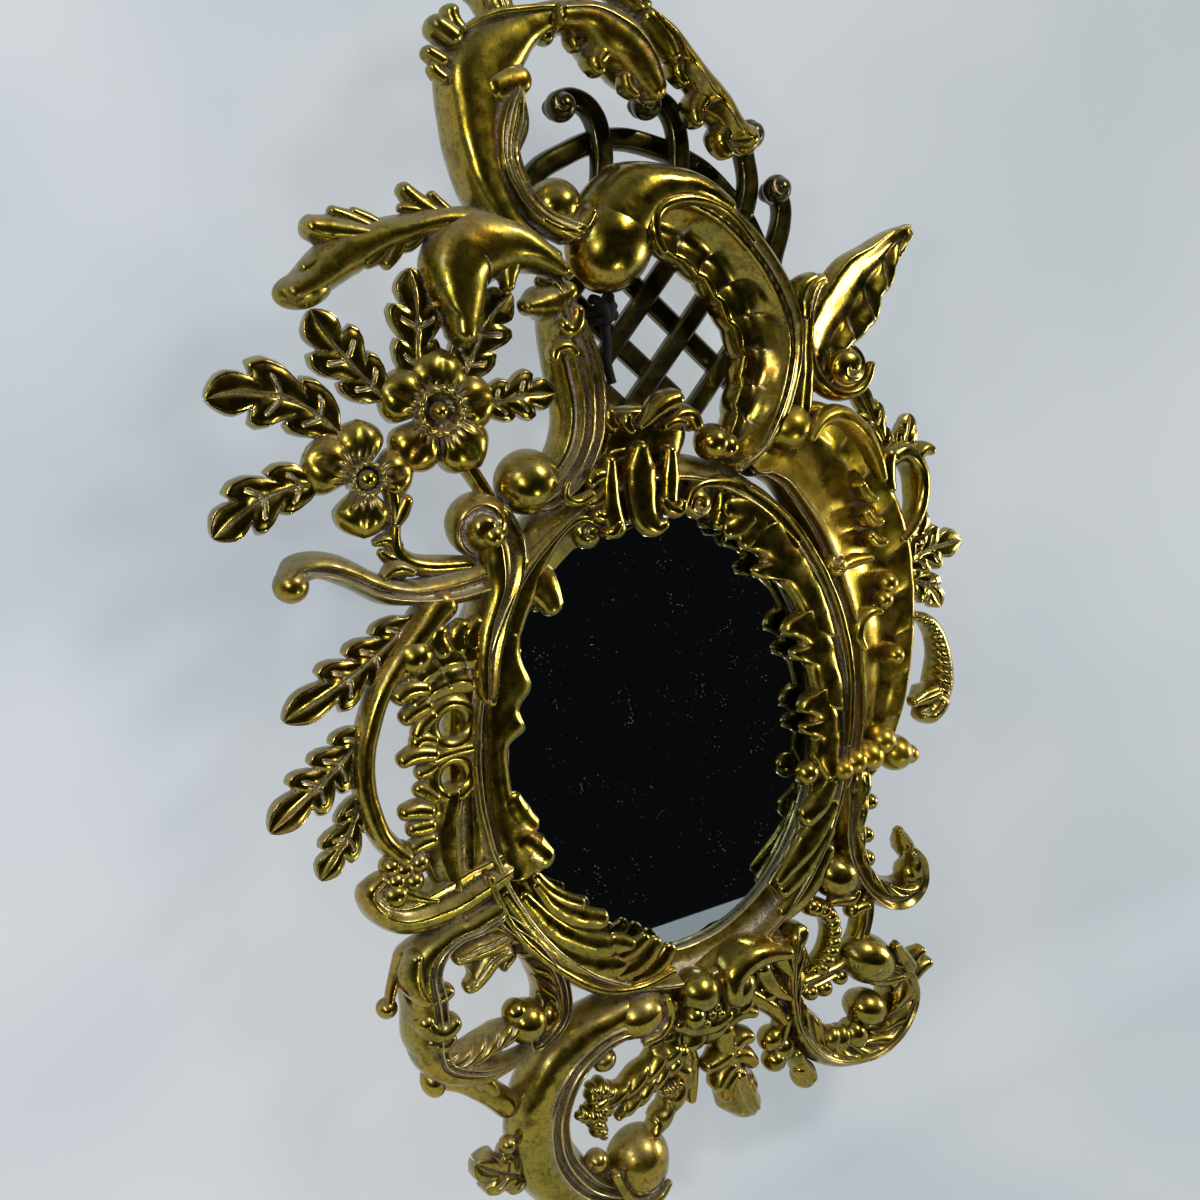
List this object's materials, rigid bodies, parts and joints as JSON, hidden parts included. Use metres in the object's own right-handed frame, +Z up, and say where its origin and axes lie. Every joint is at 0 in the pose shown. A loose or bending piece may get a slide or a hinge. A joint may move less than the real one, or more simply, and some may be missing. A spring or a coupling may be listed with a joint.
{
  "type": "rococo wall mirror",
  "caption": "Oval wall mirror in a carved and gilded rococo frame of pierced scrolls, leaves and flowers, with a leafy crest over a lattice panel.",
  "frame": {"origin": "on the wall plane, behind the middle of the oval sight opening", "axes": "+X to the viewer's right, +Y into the wall, +Z up"},
  "size_m": [0.4546, 0.047, 0.6726],
  "materials": {
    "giltwood": "burnished gilding over carved wood, worn and dusty",
    "gilt_ring": "burnished gilding over a turned wooden oval",
    "mirror_glass": "silvered glass with a ground bevel",
    "backboard": "plain thin softwood board",
    "brads": "plain steel",
    "hanging_plate": "plain brass, tarnished",
    "cord": "black frayed yarn"
  },
  "bodies": {
    "root": {"oval_frame": "gilt_ring", "mirror_glass": "mirror_glass", "backboard": "backboard", "backboard_brads": "brads", "hanging_plate": "hanging_plate", "hanging_screws": "hanging_plate", "border_leaf_left": "giltwood", "border_leaf_lower_left": "giltwood", "border_leaf_lower_right": "giltwood", "border_leaf_right": "giltwood", "head_cartouche": "giltwood", "left_inner_volute": "giltwood", "right_inner_volute": "giltwood", "crest_c_scroll": "giltwood", "crest_leaf_stem": "giltwood", "crest_leaf_flange": "giltwood", "crest_leaf_head": "giltwood", "crest_leaf_tail": "giltwood", "crest_top_leaf": "giltwood", "cove_scroll": "giltwood", "right_wing_leaf": "giltwood", "right_wing_stem": "giltwood", "right_upper_sprig": "giltwood", "right_middle_sprig": "giltwood", "right_lower_sprig": "giltwood", "left_shoulder": "giltwood", "left_arm_scroll": "giltwood", "left_tendril": "giltwood", "tendril_leaves": "giltwood", "left_shellwork": "giltwood", "left_hip_scroll": "giltwood", "ribbed_c_scroll": "giltwood", "wing_acanthus": "giltwood", "large_flower": "giltwood", "small_flower": "giltwood", "spray_leaves_left": "giltwood", "spray_leaves_right": "giltwood", "spray_stems": "giltwood", "foot_c_scroll": "giltwood", "wreath_left_band": "giltwood", "wreath_right_band": "giltwood", "wreath_leaves": "giltwood", "wreath_strut": "giltwood", "foot_cartouche": "giltwood", "foot_pendant": "giltwood", "foot_twigs": "giltwood", "right_foot_scroll": "giltwood", "right_foot_pendants": "giltwood", "right_hook_scroll": "giltwood", "right_boss": "giltwood", "right_twigs": "giltwood", "lattice_rim": "giltwood", "lattice_rising_bars": "giltwood", "lattice_falling_bars": "giltwood", "knobbed_bars": "giltwood", "cord_knot": "cord", "cord_tail": "cord"}
  },
  "joints": []
}
